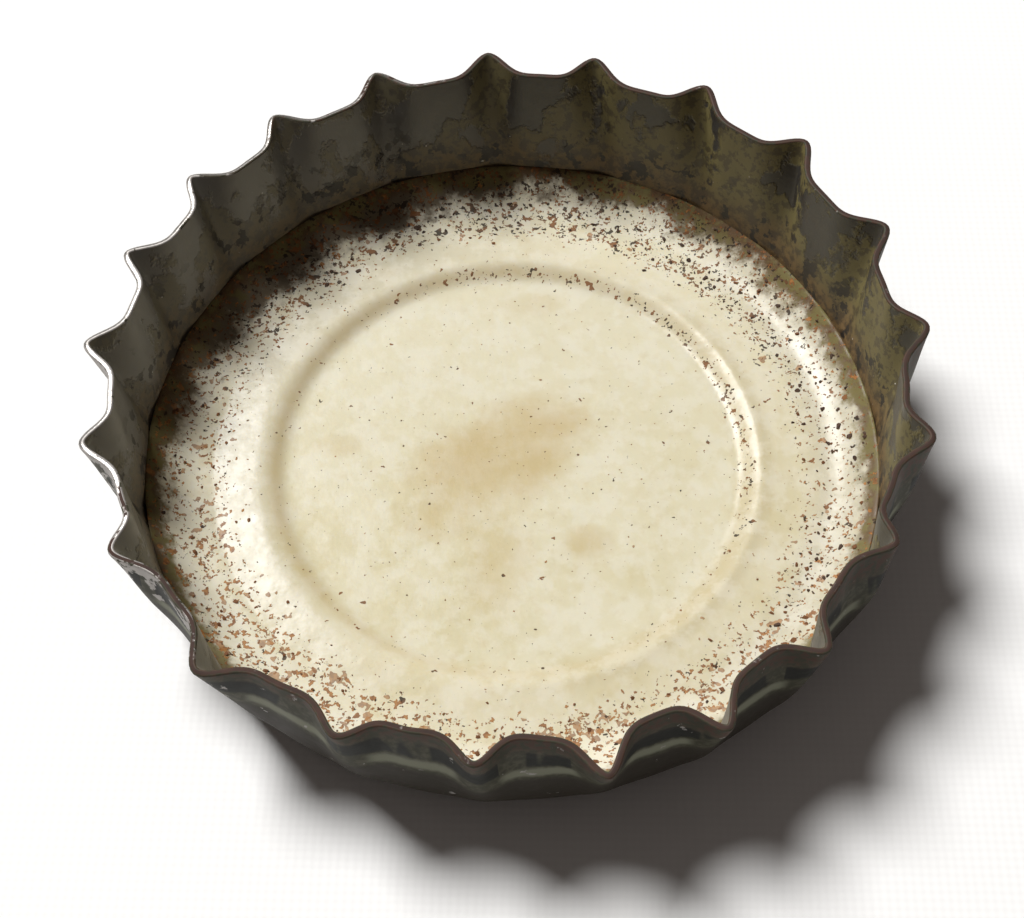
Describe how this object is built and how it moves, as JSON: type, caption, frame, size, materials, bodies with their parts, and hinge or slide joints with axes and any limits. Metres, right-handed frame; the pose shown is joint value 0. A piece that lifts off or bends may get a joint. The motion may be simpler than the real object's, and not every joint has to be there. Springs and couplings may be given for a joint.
{
  "type": "crown bottle cap",
  "caption": "Used crown bottle cap lying mouth up: fluted pressed tinplate shell with a moulded sealing liner inside, bent a little where it was levered off.",
  "frame": {"origin": "centre of the outer panel, on its outer face, which the cap lies on", "axes": "+Z out of the mouth, from the panel to the rim; +Y towards the side of the rim that was pushed out"},
  "size_m": [0.0301, 0.0301, 0.0066],
  "materials": {
    "tinplate": "satin",
    "liner_plastic": "satin"
  },
  "bodies": {
    "root": {"shell": "tinplate", "liner": "liner_plastic"}
  },
  "joints": []
}
